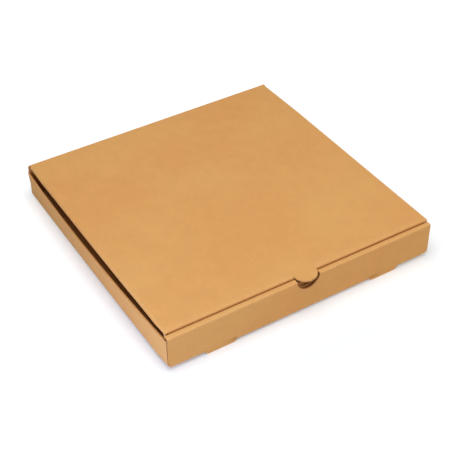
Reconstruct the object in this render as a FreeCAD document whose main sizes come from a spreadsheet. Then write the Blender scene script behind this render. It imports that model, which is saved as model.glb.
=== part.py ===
import FreeCAD, Part
import math
import os

# A closed pizza box folded from one blank of thin corrugated board, without glue.
# The tray is the base, the rolled front wall, two low side walls and the rear wall.
# The lid hangs on the crease along the top of the rear wall.
# Millimetres. +Z is up and -Y is the front, where the thumb notch is.
# The origin is on the ground, below the middle of the outline seen from above, which
# runs from the tip of the thumb tongue to the rear wall.

os.makedirs("parts", exist_ok=True)
doc = FreeCAD.newDocument("pizza_box")

# Sizes that can be set one by one
sheet = doc.addObject("Spreadsheet::Sheet", "sizes")
DIMENSIONS = [
    ("tray_width", 330.0, "outside of the side walls"),
    ("tray_depth", 334.4, "outside of the front and rear walls"),
    ("front_height", 41.0, "underside of the base to the top of the rim"),
    ("side_step", 5.0, "how much lower than the rim the side walls end"),
    ("board", 1.6, "thickness of the corrugated board"),
    ("crease_radius", 0.2, "inside radius of every fold"),
    ("ply_slack", 0.6, "free space between two plies that lie side by side"),
    ("left_bow", 4.5, "how far the left wall's top edge bulges outwards"),
    ("right_bow", 2.8, "how far the right wall's top edge bulges outwards"),
    ("rear_lean", 2.4, "how far the side walls' top edge leans out at the rear"),
    ("front_flap", 70.0, "length of the corner flaps inside the front wall"),
    ("rear_flap", 38.0, "length of the corner flaps inside the rear wall"),
    ("flap_taper", 3.0, "how much a corner flap narrows at each long edge"),
    ("flap_relief", 0.8, "corner flaps start this much above the base crease"),
    ("foot_drop", 3.5, "how far the two front tongues reach below the base"),
    ("foot_root", 37.5, "width of a foot at the base"),
    ("foot_tip", 30.0, "width of a foot at the ground"),
    ("foot_spacing", 207.0, "between the middles of the two feet"),
    ("tab_clearance", 1.0, "lock tab to the end of its slot"),
    ("tongue_width", 28.0, "width of the half-moon tongue on the lid"),
    ("thumb_offset", 3.2, "tongue and notch to the right of the tray's middle"),
    ("thumb_margin", 0.2, "the notch is this much wider than the tongue, each side"),
    ("notch_depth", 14.0, "top of the rim to the bottom of the notch"),
    ("lid_overhang", 0.1, "the lid is this much wider than the tray, each side"),
    ("lid_shift", 1.2, "middle of the lid to the right of the tray's middle"),
    ("lid_clearance", 0.4, "underside of the lid above the rim"),
    ("lid_gap", 0.7, "rim to the lid's front fold"),
    ("hinge_gap", 0.3, "top of the rear wall to the lid"),
    ("hinge_relief", 4.0, "end of a lid side fold to the rear face"),
    ("tuck_gap", 8.0, "lower edge of the tuck flap above the base"),
    ("tuck_spring", 2.2, "degrees that the tuck flap leans past its swing"),
    ("tuck_taper", 9.0, "how much the tuck flap narrows at each end"),
    ("tuck_inset", 8.0, "end of the tuck flap to the end of the lid's front fold"),
    ("side_gap", 20.0, "lower edge of the lid's side flaps above the base"),
    ("side_clearance", 0.4, "right side flap to the top edge of the side wall"),
    ("side_taper", 14.0, "how much a side flap narrows at each end"),
]
for row, (alias, value, meaning) in enumerate(DIMENSIONS, start=1):
    sheet.set(f"A{row}", alias)
    sheet.set(f"B{row}", str(value))
    sheet.set(f"C{row}", meaning)
    sheet.setAlias(f"B{row}", alias)
doc.recompute()

# Places that follow from the sizes, as formulas on the sheet
BOARD = "sizes.board"
BEND = "(sizes.board + sizes.crease_radius)"
HALF = "(sizes.tray_width / 2)"
TONGUE = "(sizes.tongue_width / 2)"
RIM_DEPTH = "(3 * sizes.board + 2 * sizes.ply_slack)"
OVERHANG = f"({TONGUE} - {RIM_DEPTH} - sizes.lid_gap - {BEND})"
FRONT = f"(({OVERHANG} - sizes.tray_depth) / 2)"
REAR = f"({FRONT} + sizes.tray_depth)"
UNDER = "sizes.foot_drop"
FLOOR = "(sizes.foot_drop + sizes.board)"
CREASE = f"({UNDER} + {BEND})"
RIM = "(sizes.foot_drop + sizes.front_height)"
SIDE_TOP = f"({RIM} - sizes.side_step)"
RIM_BACK = f"({FRONT} + {RIM_DEPTH})"
LID_UNDER = f"({RIM} + sizes.lid_clearance)"
LID_TOP = f"({LID_UNDER} + {BOARD})"
LID_FRONT = f"({RIM_BACK} + sizes.lid_gap)"
LID_HALF = f"({HALF} + sizes.lid_overhang)"
LID_BEND_Z = f"({LID_TOP} - {BEND})"
HINGE_Y = f"({REAR} - {BOARD} / 2)"
HINGE_Z = f"({LID_UNDER} + {BOARD} / 2)"
INNER_HALF = f"({HALF} - {BOARD} - sizes.ply_slack)"
WALL_START = f"({FRONT} + {BOARD} + sizes.ply_slack + {BEND})"
WALL_END = f"({REAR} - {BOARD} - sizes.ply_slack - {BEND})"
NOTCH = f"({TONGUE} + sizes.thumb_margin)"
NOTCH_Z = f"({RIM} - sizes.notch_depth + {NOTCH})"
LID_THUMB = "(sizes.thumb_offset - sizes.lid_shift)"
FOOT_X = "(sizes.foot_spacing / 2)"

X_AXIS = FreeCAD.Vector(1, 0, 0)
Y_AXIS = FreeCAD.Vector(0, 1, 0)
Z_AXIS = FreeCAD.Vector(0, 0, 1)


def number(formula):
    """Return what a formula on the sheet comes to, as a plain number."""
    return float(sheet.evalExpression(formula))


def place(solid, x, y, z):
    """Tie a solid's place to three formulas."""
    solid.setExpression("Placement.Base.x", x)
    solid.setExpression("Placement.Base.y", y)
    solid.setExpression("Placement.Base.z", z)


def block(name, x, y, z):
    """A flat panel, given as its (start, end) along each axis."""
    panel = doc.addObject("Part::Box", name)
    panel.setExpression("Length", f"{x[1]} - {x[0]}")
    panel.setExpression("Width", f"{y[1]} - {y[0]}")
    panel.setExpression("Height", f"{z[1]} - {z[0]}")
    place(panel, x[0], y[0], z[0])
    return panel


def rod(name, radius, length, sweep, start, along, at):
    """A cylinder sector that opens from start and turns about the direction along."""
    solid = doc.addObject("Part::Cylinder", name)
    solid.setExpression("Radius", radius)
    solid.setExpression("Height", length)
    solid.setExpression("Angle", sweep)
    third = along.cross(start)
    solid.Placement.Rotation = FreeCAD.Rotation(start, third, along, "ZXY")
    place(solid, *at)
    return solid


def fold(name, length, sweep, start, along, at):
    """The bent strip of board at a crease: a sector of a tube."""
    outside = rod(name + "_outside", BEND, length, sweep, start, along, at)
    inside = rod(name + "_inside", "sizes.crease_radius", length, sweep, start, along, at)
    strip = doc.addObject("Part::Cut", name)
    strip.Base = outside
    strip.Tool = inside
    return strip


def trapezoid(name, near, far, depth, low, high):
    """A plate that narrows from near (start, end) at y = 0 to far (start, end) at y = depth."""
    plate = doc.addObject("Part::Wedge", name)
    plate.setExpression("Xmin", near[0])
    plate.setExpression("Xmax", near[1])
    plate.setExpression("X2min", far[0])
    plate.setExpression("X2max", far[1])
    plate.Ymin = 0
    plate.setExpression("Ymax", depth)
    plate.setExpression("Zmin", low)
    plate.setExpression("Zmax", high)
    plate.setExpression("Z2min", low)
    plate.setExpression("Z2max", high)
    return plate


def turned(name, parts, axis, angle, x, y, z):
    """Turn parts that were made about the origin, and put them in their place."""
    group = doc.addObject("Part::Compound", name)
    group.Links = parts
    group.Placement.Rotation = FreeCAD.Rotation(axis, 1)
    group.setExpression("Placement.Rotation.Angle", angle)
    place(group, x, y, z)
    return group


def mirrored(name, source):
    """The same piece on the left side."""
    copy = doc.addObject("Part::Mirroring", name)
    copy.Source = source
    copy.Normal = X_AXIS
    return copy


def joined(name, shapes):
    """One sheet made of panels and folds that meet."""
    whole = doc.addObject("Part::MultiFuse", name)
    whole.Shapes = shapes
    whole.Refine = True
    return whole


def cut(name, base, tool):
    """Take a tool out of a sheet, and stop if nothing was taken."""
    result = doc.addObject("Part::Cut", name)
    result.Base = base
    result.Tool = tool
    doc.recompute()
    if result.Shape.Volume > base.Shape.Volume - 1:
        raise RuntimeError(f"{name} takes nothing away")
    return result


# Base panel, and the rear wall that stands on its rear crease
base = block(
    "base",
    (f"-({HALF} - {BEND})", f"({HALF} - {BEND})"),
    (f"({FRONT} + {BEND})", f"({REAR} - {BEND})"),
    (UNDER, FLOOR),
)
rear_crease = fold(
    "rear_crease", f"2 * ({HALF} - {BEND})", "90", -Z_AXIS, X_AXIS,
    (f"-({HALF} - {BEND})", f"{REAR} - {BEND}", CREASE),
)
rear_wall = block(
    "rear_wall",
    (f"-{HALF}", HALF),
    (f"({REAR} - {BOARD})", REAR),
    (CREASE, f"({LID_UNDER} - sizes.hinge_gap)"),
)

# Front wall: up the outside, over the rounded rim and down the inside
front_crease = fold(
    "front_crease", f"2 * ({HALF} - {BEND})", "90", -Y_AXIS, X_AXIS,
    (f"-({HALF} - {BEND})", f"{FRONT} + {BEND}", CREASE),
)
front_ply = block(
    "front_ply",
    (f"-{HALF}", HALF),
    (FRONT, f"({FRONT} + {BOARD})"),
    (CREASE, f"({RIM} - {BEND})"),
)
rim_front = fold(
    "rim_front", f"2 * {HALF}", "90", Z_AXIS, X_AXIS,
    (f"-{HALF}", f"{FRONT} + {BEND}", f"{RIM} - {BEND}"),
)
rim_top = block(
    "rim_top",
    (f"-{HALF}", HALF),
    (f"({FRONT} + {BEND})", f"({RIM_BACK} - {BEND})"),
    (f"({RIM} - {BOARD})", RIM),
)
rim_back = fold(
    "rim_back", f"2 * {HALF}", "90", Y_AXIS, X_AXIS,
    (f"-{HALF}", f"{RIM_BACK} - {BEND}", f"{RIM} - {BEND}"),
)
inner_ply = block(
    "inner_ply",
    (f"-{INNER_HALF}", INNER_HALF),
    (f"({RIM_BACK} - {BOARD})", RIM_BACK),
    (f"({FLOOR} + sizes.ply_slack)", f"({RIM} - {BEND})"),
)


def side_wall(name, side, bow):
    """A side wall with its base crease, its bulge and its two corner flaps.

    Along the wall the section stays the same and only turns outwards about its base
    crease. The top edge stands out by bow * sin(pi * u ** 1.2) + rear_lean * u, where u
    runs from 0 at the front to 1 at the rear, so the bulge is widest behind the middle.
    """
    board = number(BOARD)
    inner = number("sizes.crease_radius")
    outer = number(BEND)
    start = number(WALL_START)
    end = number(WALL_END)
    centre_x = number(f"{HALF} - {BEND}")
    centre_z = number(CREASE)
    top = number(f"{SIDE_TOP} - {CREASE}")
    low = number("sizes.flap_relief")
    taper = number("sizes.flap_taper")
    rear_lean = number("sizes.rear_lean")

    def axes(u):
        lean = bow * math.sin(math.pi * u**1.2) + rear_lean * u
        angle = math.asin(lean / top)
        up = FreeCAD.Vector(side * math.sin(angle), 0, math.cos(angle))
        out = FreeCAD.Vector(side * math.cos(angle), 0, -math.sin(angle))
        return up, out

    def section(u):
        up, out = axes(u)
        centre = FreeCAD.Vector(side * centre_x, start + (end - start) * u, centre_z)
        half_way = (out - Z_AXIS).normalize()
        outer_foot = centre + out * outer
        inner_foot = centre + out * inner
        outside = Part.Arc(centre - Z_AXIS * outer, centre + half_way * outer, outer_foot)
        inside = Part.Arc(inner_foot, centre + half_way * inner, centre - Z_AXIS * inner)
        return Part.Wire([
            outside.toShape(),
            Part.makeLine(outer_foot, outer_foot + up * top),
            Part.makeLine(outer_foot + up * top, inner_foot + up * top),
            Part.makeLine(inner_foot + up * top, inner_foot),
            inside.toShape(),
            Part.makeLine(centre - Z_AXIS * inner, centre - Z_AXIS * outer),
        ])

    stations = 9
    sections = [section(i / (stations - 1)) for i in range(stations)]
    pieces = [Part.makeLoft(sections, True, False)]
    for u, way, at_y, length in (
        (0, -1, start, number("sizes.front_flap")),
        (1, 1, end, number("sizes.rear_flap")),
    ):
        up, out = axes(u)
        centre = FreeCAD.Vector(side * centre_x, at_y, centre_z)
        corners = [
            centre + out * inner + up * low,
            centre + out * outer + up * low,
            centre + out * outer + up * top,
            centre + out * inner + up * top,
        ]
        strip = Part.Face(Part.makePolygon(corners + corners[:1]))
        pieces.append(strip.revolve(centre, up, side * way * 90))
        shift = Y_AXIS * (inner if way > 0 else -outer)
        corners = [
            centre + shift + up * low,
            centre + shift - out * length + up * (low + taper),
            centre + shift - out * length + up * (top - taper),
            centre + shift + up * top,
        ]
        plate = Part.Face(Part.makePolygon(corners + corners[:1]))
        pieces.append(plate.extrude(Y_AXIS * board))
    wall = doc.addObject("Part::Feature", name)
    wall.Shape = pieces[0].fuse(pieces[1:]).removeSplitter()
    return wall


left_wall = side_wall("left_wall", -1, number("sizes.left_bow"))
right_wall = side_wall("right_wall", 1, number("sizes.right_bow"))

folded = joined(
    "folded",
    [base, rear_crease, rear_wall, front_crease, front_ply, rim_front, rim_top,
     rim_back, inner_ply, left_wall, right_wall],
)

# Thumb notch: a half round through both plies of the front wall
notch_round = rod(
    "notch_round", NOTCH, f"{RIM_DEPTH} + 2 * {BOARD}", "360", X_AXIS, Y_AXIS,
    ("sizes.thumb_offset", f"{FRONT} - {BOARD}", NOTCH_Z),
)
notch_mouth = block(
    "notch_mouth",
    (f"(sizes.thumb_offset - {NOTCH})", f"(sizes.thumb_offset + {NOTCH})"),
    (f"({FRONT} - {BOARD})", f"({RIM_BACK} + {BOARD})"),
    (NOTCH_Z, f"({RIM} + {NOTCH} + {BOARD})"),
)
notched = cut("notched", folded, joined("notch", [notch_round, notch_mouth]))

# Lock slots at the front crease, and the feet that were cut out of them
slots = []
feet = []
for name, side in (("left", "-1"), ("right", "1")):
    middle = f"({side} * {FOOT_X})"
    slot = trapezoid(
        name + "_slot",
        ("-sizes.foot_root / 2", "sizes.foot_root / 2"),
        ("-sizes.foot_tip / 2", "sizes.foot_tip / 2"),
        f"{RIM_DEPTH} + sizes.ply_slack", "0", f"{BEND}",
    )
    place(slot, middle, FRONT, UNDER)
    slots.append(slot)
    feet.append(block(
        name + "_foot_root",
        (f"({middle} - sizes.foot_root / 2)", f"({middle} + sizes.foot_root / 2)"),
        (FRONT, f"({FRONT} + {BOARD})"),
        (UNDER, CREASE),
    ))
    foot = trapezoid(
        name + "_foot",
        ("-sizes.foot_root / 2", "sizes.foot_root / 2"),
        ("-sizes.foot_tip / 2", "sizes.foot_tip / 2"),
        UNDER, "0", BOARD,
    )
    foot.Placement.Rotation = FreeCAD.Rotation(X_AXIS, -90)
    place(foot, middle, FRONT, UNDER)
    feet.append(foot)
    tab_half = "(sizes.foot_tip / 2 - sizes.tab_clearance)"
    feet.append(block(
        name + "_lock_tab",
        (f"({middle} - {tab_half})", f"({middle} + {tab_half})"),
        (f"({RIM_BACK} - {BOARD})", RIM_BACK),
        (UNDER, f"({FLOOR} + sizes.ply_slack + {BOARD})"),
    ))
slotted = cut("slotted", notched, joined("slots", slots))
tray = joined("tray_sheet", [slotted] + feet)
tray.Label = "tray"

# Lid panel, with the rounded edge that lies on the rear wall's crease. The lid is made
# about its own middle, and the whole of it is then shifted to its place.
panel = block(
    "panel",
    (f"-({LID_HALF} - {BEND})", f"({LID_HALF} - {BEND})"),
    (f"({LID_FRONT} + {BEND})", HINGE_Y),
    (LID_UNDER, LID_TOP),
)
hinge_edge = rod(
    "hinge_edge", f"{BOARD} / 2", f"2 * {LID_HALF}", "360", Y_AXIS, X_AXIS,
    (f"-{LID_HALF}", HINGE_Y, HINGE_Z),
)

# Tuck flap: its lower edge would swing forwards by drop * drop / (2 * reach) as the lid
# lifts, so it leans inwards by that angle and a little more
TUCK_DROP = f"({LID_BEND_Z} - {FLOOR} - sizes.tuck_gap)"
TUCK_REACH = f"({HINGE_Y} - {LID_FRONT})"
TUCK_LEAN = f"(atan({TUCK_DROP} / (2 * {TUCK_REACH})) / 1 deg + sizes.tuck_spring)"
tuck_fold = fold(
    "tuck_fold", f"2 * ({LID_HALF} - {BEND})", f"90 + {TUCK_LEAN}", Z_AXIS, X_AXIS,
    (f"-({LID_HALF} - {BEND})", f"{LID_FRONT} + {BEND}", LID_BEND_Z),
)
tuck_half = f"({LID_HALF} - {BEND} - sizes.tuck_inset)"
tuck_plate = trapezoid(
    "tuck_plate",
    (f"-{tuck_half}", tuck_half),
    (f"-({tuck_half} - sizes.tuck_taper)", f"({tuck_half} - sizes.tuck_taper)"),
    f"{TUCK_DROP} / cos({TUCK_LEAN})", f"-{BEND}", "-sizes.crease_radius",
)
tuck_flap = turned(
    "tuck_flap", [tuck_plate], X_AXIS, f"{TUCK_LEAN} - 90",
    "0", f"{LID_FRONT} + {BEND}", LID_BEND_Z,
)

# Side flaps: the right one is made hanging from the origin, then leaned and mirrored.
# It leans inwards just enough to pass inside the top edge of the right side wall: with
# the edge h below the fold's middle and c inside it, h * sin(lean) - c * cos(lean) = bend.
EDGE_BELOW = f"({LID_BEND_Z} - {SIDE_TOP})"
EDGE_INSIDE = (
    f"({LID_HALF} - {BEND} + abs(sizes.lid_shift) - {HALF} + {BOARD} + sizes.side_clearance)"
)
EDGE_AWAY = f"sqrt({EDGE_BELOW} ^ 2 + {EDGE_INSIDE} ^ 2)"
SIDE_LEAN = f"((atan({EDGE_INSIDE} / {EDGE_BELOW}) + asin({BEND} / {EDGE_AWAY})) / 1 deg)"
SIDE_DROP = f"({LID_BEND_Z} - {FLOOR} - sizes.side_gap)"
side_start = f"({LID_FRONT} + {BEND})"
side_end = f"({REAR} - sizes.hinge_relief)"
side_fold = fold(
    "side_fold", f"{side_end} - {side_start}", f"90 + {SIDE_LEAN}", Z_AXIS, Y_AXIS,
    (f"{LID_HALF} - {BEND}", side_start, LID_BEND_Z),
)
side_edge = block(
    "side_edge",
    (f"({LID_HALF} - {BEND})", LID_HALF),
    (side_end, HINGE_Y),
    (LID_UNDER, LID_TOP),
)
side_plate = trapezoid(
    "side_plate",
    (side_start, side_end),
    (f"({side_start} + sizes.side_taper)", f"({side_end} - sizes.side_taper)"),
    f"{SIDE_DROP} / cos({SIDE_LEAN})", f"-{BEND}", "-sizes.crease_radius",
)
side_plate.Placement.Rotation = FreeCAD.Rotation(Y_AXIS, -Z_AXIS, -X_AXIS, "ZXY")
side_flap = turned(
    "side_flap", [side_plate], Y_AXIS, SIDE_LEAN,
    f"{LID_HALF} - {BEND}", "0", LID_BEND_Z,
)
flaps = [tuck_fold, tuck_flap, side_edge, side_fold, side_flap]
flaps.append(mirrored("left_side_edge", side_edge))
flaps.append(mirrored("left_side_fold", side_fold))
flaps.append(mirrored("left_side_flap", side_flap))
unholed = joined("unholed", [panel, hinge_edge] + flaps)

# Thumb tongue: it stays level with the panel, and leaves a half-moon hole in the flap
tongue = rod(
    "tongue", TONGUE, BOARD, "180", -X_AXIS, Z_AXIS,
    (LID_THUMB, f"{LID_FRONT} + {BEND}", LID_UNDER),
)
fold_gap = block(
    "fold_gap",
    (f"({LID_THUMB} - {TONGUE})", f"({LID_THUMB} + {TONGUE})"),
    (f"({LID_FRONT} - {BOARD})", f"({LID_FRONT} + {BEND})"),
    (f"({LID_BEND_Z} - {BOARD})", f"({LID_TOP} + {BOARD})"),
)
strip_length = f"((90 + {TUCK_LEAN}) * pi / 180 * (sizes.crease_radius + {BOARD} / 2))"
flap_hole = rod(
    "flap_hole", TONGUE, f"{BEND} + {BOARD} - sizes.crease_radius / 2", "360", X_AXIS, Z_AXIS,
    ("0", f"-{strip_length}", f"-({BEND} + {BOARD})"),
)
flap_hole_tool = turned(
    "flap_hole_tool", [flap_hole], X_AXIS, f"{TUCK_LEAN} - 90",
    LID_THUMB, f"{LID_FRONT} + {BEND}", LID_BEND_Z,
)
holed = cut("holed", cut("opened", unholed, fold_gap), flap_hole_tool)
lid = joined("lid_sheet", [holed, tongue])
lid.setExpression("Placement.Base.x", "sizes.lid_shift")
lid.Label = "lid"

doc.recompute()

# Nothing is written unless every step of the model worked
for item in doc.Objects:
    if {"Invalid", "Error"} & set(item.State):
        raise RuntimeError(f"{item.Label} failed: {item.State}")
for item in (tray, lid):
    if item.Shape.isNull() or not item.Shape.isValid() or len(item.Shape.Solids) != 1:
        raise RuntimeError(f"{item.Label} is not one sound solid")
    item.Shape.exportStep(f"parts/{item.Label}.step")
    box = item.Shape.optimalBoundingBox()
    print(
        f"{item.Label}: {item.Shape.Volume / 1000:.1f} cm3,"
        f" x {box.XMin:.2f} to {box.XMax:.2f}, y {box.YMin:.2f} to {box.YMax:.2f},"
        f" z {box.ZMin:.2f} to {box.ZMax:.2f}"
    )
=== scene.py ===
# %% [markdown]
# # A pizza box folded from one sheet of corrugated board
# The real box starts as a flat blank: a die cuts its outline and presses its creases, and
# hands fold it up without glue. This lesson does the same. Each sheet is drawn flat, cut
# with a mask of small cells, and then folded by a rule that sends every point of the blank
# to its place in the finished box. Only the two bodies that MuJoCo moves are fixed
# beforehand: the tray and the lid, which turns on the crease of the rear wall.

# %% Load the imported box
import math

import bpy
import numpy as np
from mathutils import Matrix, Vector


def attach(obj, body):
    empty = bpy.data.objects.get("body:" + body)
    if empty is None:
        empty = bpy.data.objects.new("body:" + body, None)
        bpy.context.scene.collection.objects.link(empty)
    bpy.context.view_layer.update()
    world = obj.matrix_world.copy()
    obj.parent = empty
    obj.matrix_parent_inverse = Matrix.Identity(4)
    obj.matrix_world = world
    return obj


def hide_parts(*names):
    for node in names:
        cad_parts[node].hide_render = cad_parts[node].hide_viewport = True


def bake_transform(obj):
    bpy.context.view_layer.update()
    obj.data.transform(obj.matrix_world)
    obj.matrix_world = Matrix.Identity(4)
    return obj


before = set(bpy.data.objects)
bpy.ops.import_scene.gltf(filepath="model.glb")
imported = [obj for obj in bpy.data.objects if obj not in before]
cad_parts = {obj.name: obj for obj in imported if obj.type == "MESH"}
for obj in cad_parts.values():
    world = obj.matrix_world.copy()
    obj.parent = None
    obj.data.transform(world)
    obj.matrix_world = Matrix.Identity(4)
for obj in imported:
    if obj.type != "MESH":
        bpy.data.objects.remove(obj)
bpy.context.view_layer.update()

# %% [markdown]
# ## The camera
# The box is seen from its front left corner and from above, as something lying on a table
# in front of the viewer. A long lens keeps its edges nearly parallel. The camera could
# be aimed with a constraint, but a matrix made from three right-angled directions says
# plainly where it looks, and holds the slight roll of a camera that was held by hand.

# %% Camera
TURN, RISE, ROLL = (math.radians(degrees) for degrees in (-31.107, 39.849, -0.795))
LOOK_AT = Vector((-0.000621, -0.010204, 0.0045))
AWAY = 1.2511
FOCAL, SENSOR = 86.0, 36.0

backwards = Vector((
    math.sin(TURN) * math.cos(RISE), -math.cos(TURN) * math.cos(RISE), math.sin(RISE)))
sideways = Vector((math.cos(TURN), math.sin(TURN), 0))
upwards = backwards.cross(sideways)
across = sideways * math.cos(ROLL) + upwards * math.sin(ROLL)
up = upwards * math.cos(ROLL) - sideways * math.sin(ROLL)
stand = Matrix((across, up, backwards)).transposed().to_4x4()
stand.translation = LOOK_AT + backwards * AWAY

lens = bpy.data.cameras.new("camera")
lens.lens = FOCAL
lens.sensor_width = SENSOR
camera = bpy.data.objects.new("camera", lens)
camera.matrix_world = stand
bpy.context.scene.collection.objects.link(camera)
bpy.context.scene.camera = camera
print("camera stands at", [round(value, 3) for value in camera.matrix_world.translation])

# %% [markdown]
# ## Sizes of the blank
# Every measure is in millimetres, as on a die maker's drawing, and becomes metres only
# when a mesh is made. The board is E flute, 1.6 mm thick. A fold is so tight that the
# inner paper has almost no radius, so the middle of the board goes round in 1 mm. Sheets
# that slide past each other have a slack of 0.6 mm, and slits are 0.8 mm wide.

# %% Sizes
BOARD = 1.6
INSIDE = 0.2
MIDDLE = INSIDE + BOARD / 2
BEND = INSIDE + BOARD
QUARTER = MIDDLE * math.pi / 2
SLACK = 0.6
SLIT = 0.8

HALF = 165.0
FRONT = -164.45
REAR = 169.95
UNDER = 3.5
FLOOR = UNDER + BOARD
CREASE = UNDER + BEND
RIM = 44.5
RIM_BACK = FRONT + 3 * BOARD + 2 * SLACK
SIDE_TOP = RIM - 5.0
BASE_HALF = HALF - BEND
INNER_HALF = HALF - BOARD - SLACK
WALL_START = FRONT + BOARD + SLACK + BEND
WALL_END = REAR - BOARD - SLACK - BEND

LID_HALF = HALF + 0.1
LID_SHIFT = 1.2
LID_UNDER = RIM + 0.4
LID_TOP = LID_UNDER + BOARD
LID_FRONT = RIM_BACK + 0.7
LID_BEND = LID_TOP - BEND
HINGE = REAR - BOARD / 2
REAR_TOP = LID_UNDER - 0.3

THUMB = 3.2
TONGUE = 14.0
NOTCH = TONGUE + 0.2
NOTCH_Z = RIM - TONGUE + NOTCH
print(f"tray {2 * HALF:.0f} x {REAR - FRONT:.1f} x {RIM - UNDER:.0f} mm, board {BOARD} mm")

# %% [markdown]
# ## Drawing lines on the blank
# A mesh needs small cells where the board bends or where a curved knife line runs, and
# large ones on flat panels. The lines of the grid are therefore ruled from a list of
# marks, each with the largest cell wanted after it, so that every crease and every cut
# falls exactly on a line. A fold needs the finest cells, and a curved knife line the next.

# %% Ruled lines
IN_FOLD, BESIDE_FOLD, AT_KNIFE, ON_EDGE = 0.26, 0.6, 0.8, 1
ON_TAB, ON_WALL, ON_PANEL = 2, 4, 6


def ruled(marks):
    """Positions of grid lines: each gap between two marks is cut into equal cells.

    marks is a list of (position, largest cell up to the next mark), in rising order.
    """
    lines = [np.array([marks[0][0]])]
    for (start, cell), (end, _) in zip(marks[:-1], marks[1:]):
        count = max(1, math.ceil((end - start) / cell - 1e-9))
        lines.append(np.linspace(start, end, count + 1)[1:])
    return np.concatenate(lines)


def mirrored(marks):
    """Marks for the left half of the blank, from those of the right half."""
    return [(-marks[i][0], marks[i - 1][1]) for i in range(len(marks) - 1, 0, -1)]


print("six lines over 10 mm:", ruled([(0, 2), (10, 1)]))

# %% [markdown]
# ## Folding a strip
# Seen from the side, a folded strip is a row of straight runs joined by arcs. A hand could
# model that with a bevelled curve, but then the outer and inner papers would have no
# common measure. Here the profile is a rule for the middle of the board, and each point
# keeps its distance along the blank, so paper grain and flutes run on round the folds.

# %% Fold a strip
def folded(start, heading, runs, distance):
    """Middle of the board and its outside normal, at distances along a folded strip.

    On a straight run the point is start + distance * heading. In a turn it goes round a
    circle of radius MIDDLE whose centre lies to the left. The normal is the heading
    turned a quarter to the right. runs holds (length, degrees turned left after it).
    """
    point = np.array(start, float)
    angle = math.radians(heading)
    middle = np.zeros(distance.shape + (2,))
    normal = np.zeros(distance.shape + (2,))
    passed = 0.0
    for length, turn in runs:
        here = distance >= passed if passed else np.ones(distance.shape, bool)
        ahead = np.array([math.cos(angle), math.sin(angle)])
        middle[here] = point + (distance[here] - passed)[:, None] * ahead
        normal[here] = (math.sin(angle), -math.cos(angle))
        point = point + length * ahead
        passed += length
        if not turn:
            continue
        turn = math.radians(turn)
        here = distance >= passed
        bent = angle + np.minimum((distance[here] - passed) / MIDDLE, turn)
        spoke = np.stack([np.sin(bent), -np.cos(bent)], 1)
        centre = point + MIDDLE * np.array([-math.sin(angle), math.cos(angle)])
        middle[here] = centre + MIDDLE * spoke
        normal[here] = spoke
        angle += turn
        point = centre + MIDDLE * np.array([math.sin(angle), -math.cos(angle)])
        passed += MIDDLE * turn
    return middle, normal


def strip(start, runs, across, along):
    """A wide strip folded up from heading 90: across is x, and the profile gives y and z."""
    profile, facing = folded(start, 90, runs, along)
    middle = np.stack([across, profile[..., 0], profile[..., 1]], -1)
    return middle, np.stack([0 * across, facing[..., 0], facing[..., 1]], -1)


def level_sheet(x, y, z):
    """A sheet that faces straight up: each point is x, y, z and its normal is +z."""
    middle = np.stack([x, y, z], -1)
    return middle, np.broadcast_to(np.array([0.0, 0.0, 1.0]), middle.shape)


# %% [markdown]
# ## From a folded surface to board
# A sheet of board is two papers with flutes between them. The mesh has the outer paper,
# the inner paper and a rim wherever the knife has cut, so it is a closed skin. Solidify
# would do this too, but a skin made from the mask knows which faces are cut edges, and
# the material can then show the flutes there and nowhere else.

# %% Give the sheet its thickness
def board_skin(middle, normal, cells, across, along, pressed=False):
    """Closed skin of the cells of a grid that the knife leaves standing.

    The outer paper is middle + normal * BOARD / 2 and the inner one middle - normal *
    BOARD / 2. Where a standing cell meets a missing one, a face joins the two papers.
    Such a face gets the mark 0.4 + 0.6 * (share of its length that runs across the
    flutes) squared: 1 shows open flutes, 0.4 the flat of one flute or a pressed edge. A
    node is creased where the board turns by more than 5 degrees to its neighbour.
    across and along are each node's place on the blank, kept for the material.
    """
    rows, columns = across.shape
    node = np.arange(rows * columns).reshape(rows, columns)
    below = rows * columns
    outer = (middle + normal * BOARD / 2).reshape(-1, 3)
    inner = (middle - normal * BOARD / 2).reshape(-1, 3)
    around = [node[:-1, :-1], node[:-1, 1:], node[1:, 1:], node[1:, :-1]]
    corner = np.stack(around, -1)[cells]
    padded = np.pad(cells, 1)
    this, last = padded[1:, 1:-1], padded[:-1, 1:-1]
    right, left = padded[1:-1, 1:], padded[1:-1, :-1]
    begin = np.concatenate([
        node[:, :-1][this & ~last], node[:, 1:][last & ~this],
        node[1:][right & ~left], node[:-1][left & ~right],
    ])
    end = np.concatenate([
        node[:, 1:][this & ~last], node[:, :-1][last & ~this],
        node[:-1][right & ~left], node[1:][left & ~right],
    ])
    rim = np.stack([end, begin, begin + below, end + below], 1)
    faces = np.concatenate([corner, corner[:, ::-1] + below, rim])
    a, b, c = outer[corner[0, 0]], outer[corner[0, 1]], outer[corner[0, 3]]
    if np.cross(b - a, c - a) @ normal.reshape(-1, 3)[corner[0, 0]] < 0:
        faces = faces[:, ::-1]
    blank = np.stack([across.ravel(), along.ravel()], 1)
    step = blank[end] - blank[begin]
    length = np.maximum(np.hypot(step[:, 0], step[:, 1]), 1e-6)
    share = np.abs(step[:, 1]) / length
    mark = 0.4 + 0.6 * share**2 * (not pressed)
    cut = np.concatenate([np.zeros(2 * len(corner)), mark])

    creased = np.zeros((rows, columns))
    limit = math.cos(math.radians(5))
    down = (right | left) & ((normal[1:] * normal[:-1]).sum(-1) < limit)
    over = (this | last) & ((normal[:, 1:] * normal[:, :-1]).sum(-1) < limit)
    creased[1:][down] = creased[:-1][down] = 1
    creased[:, 1:][over] = creased[:, :-1][over] = 1
    return (np.concatenate([outer, inner]), faces, cut, np.concatenate([blank, blank]),
            np.concatenate([creased.ravel(), creased.ravel()]), below)


def uncut(grid):
    """A mask that leaves every cell of a grid standing."""
    return np.ones((grid.shape[0] - 1, grid.shape[1] - 1), bool)


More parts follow.
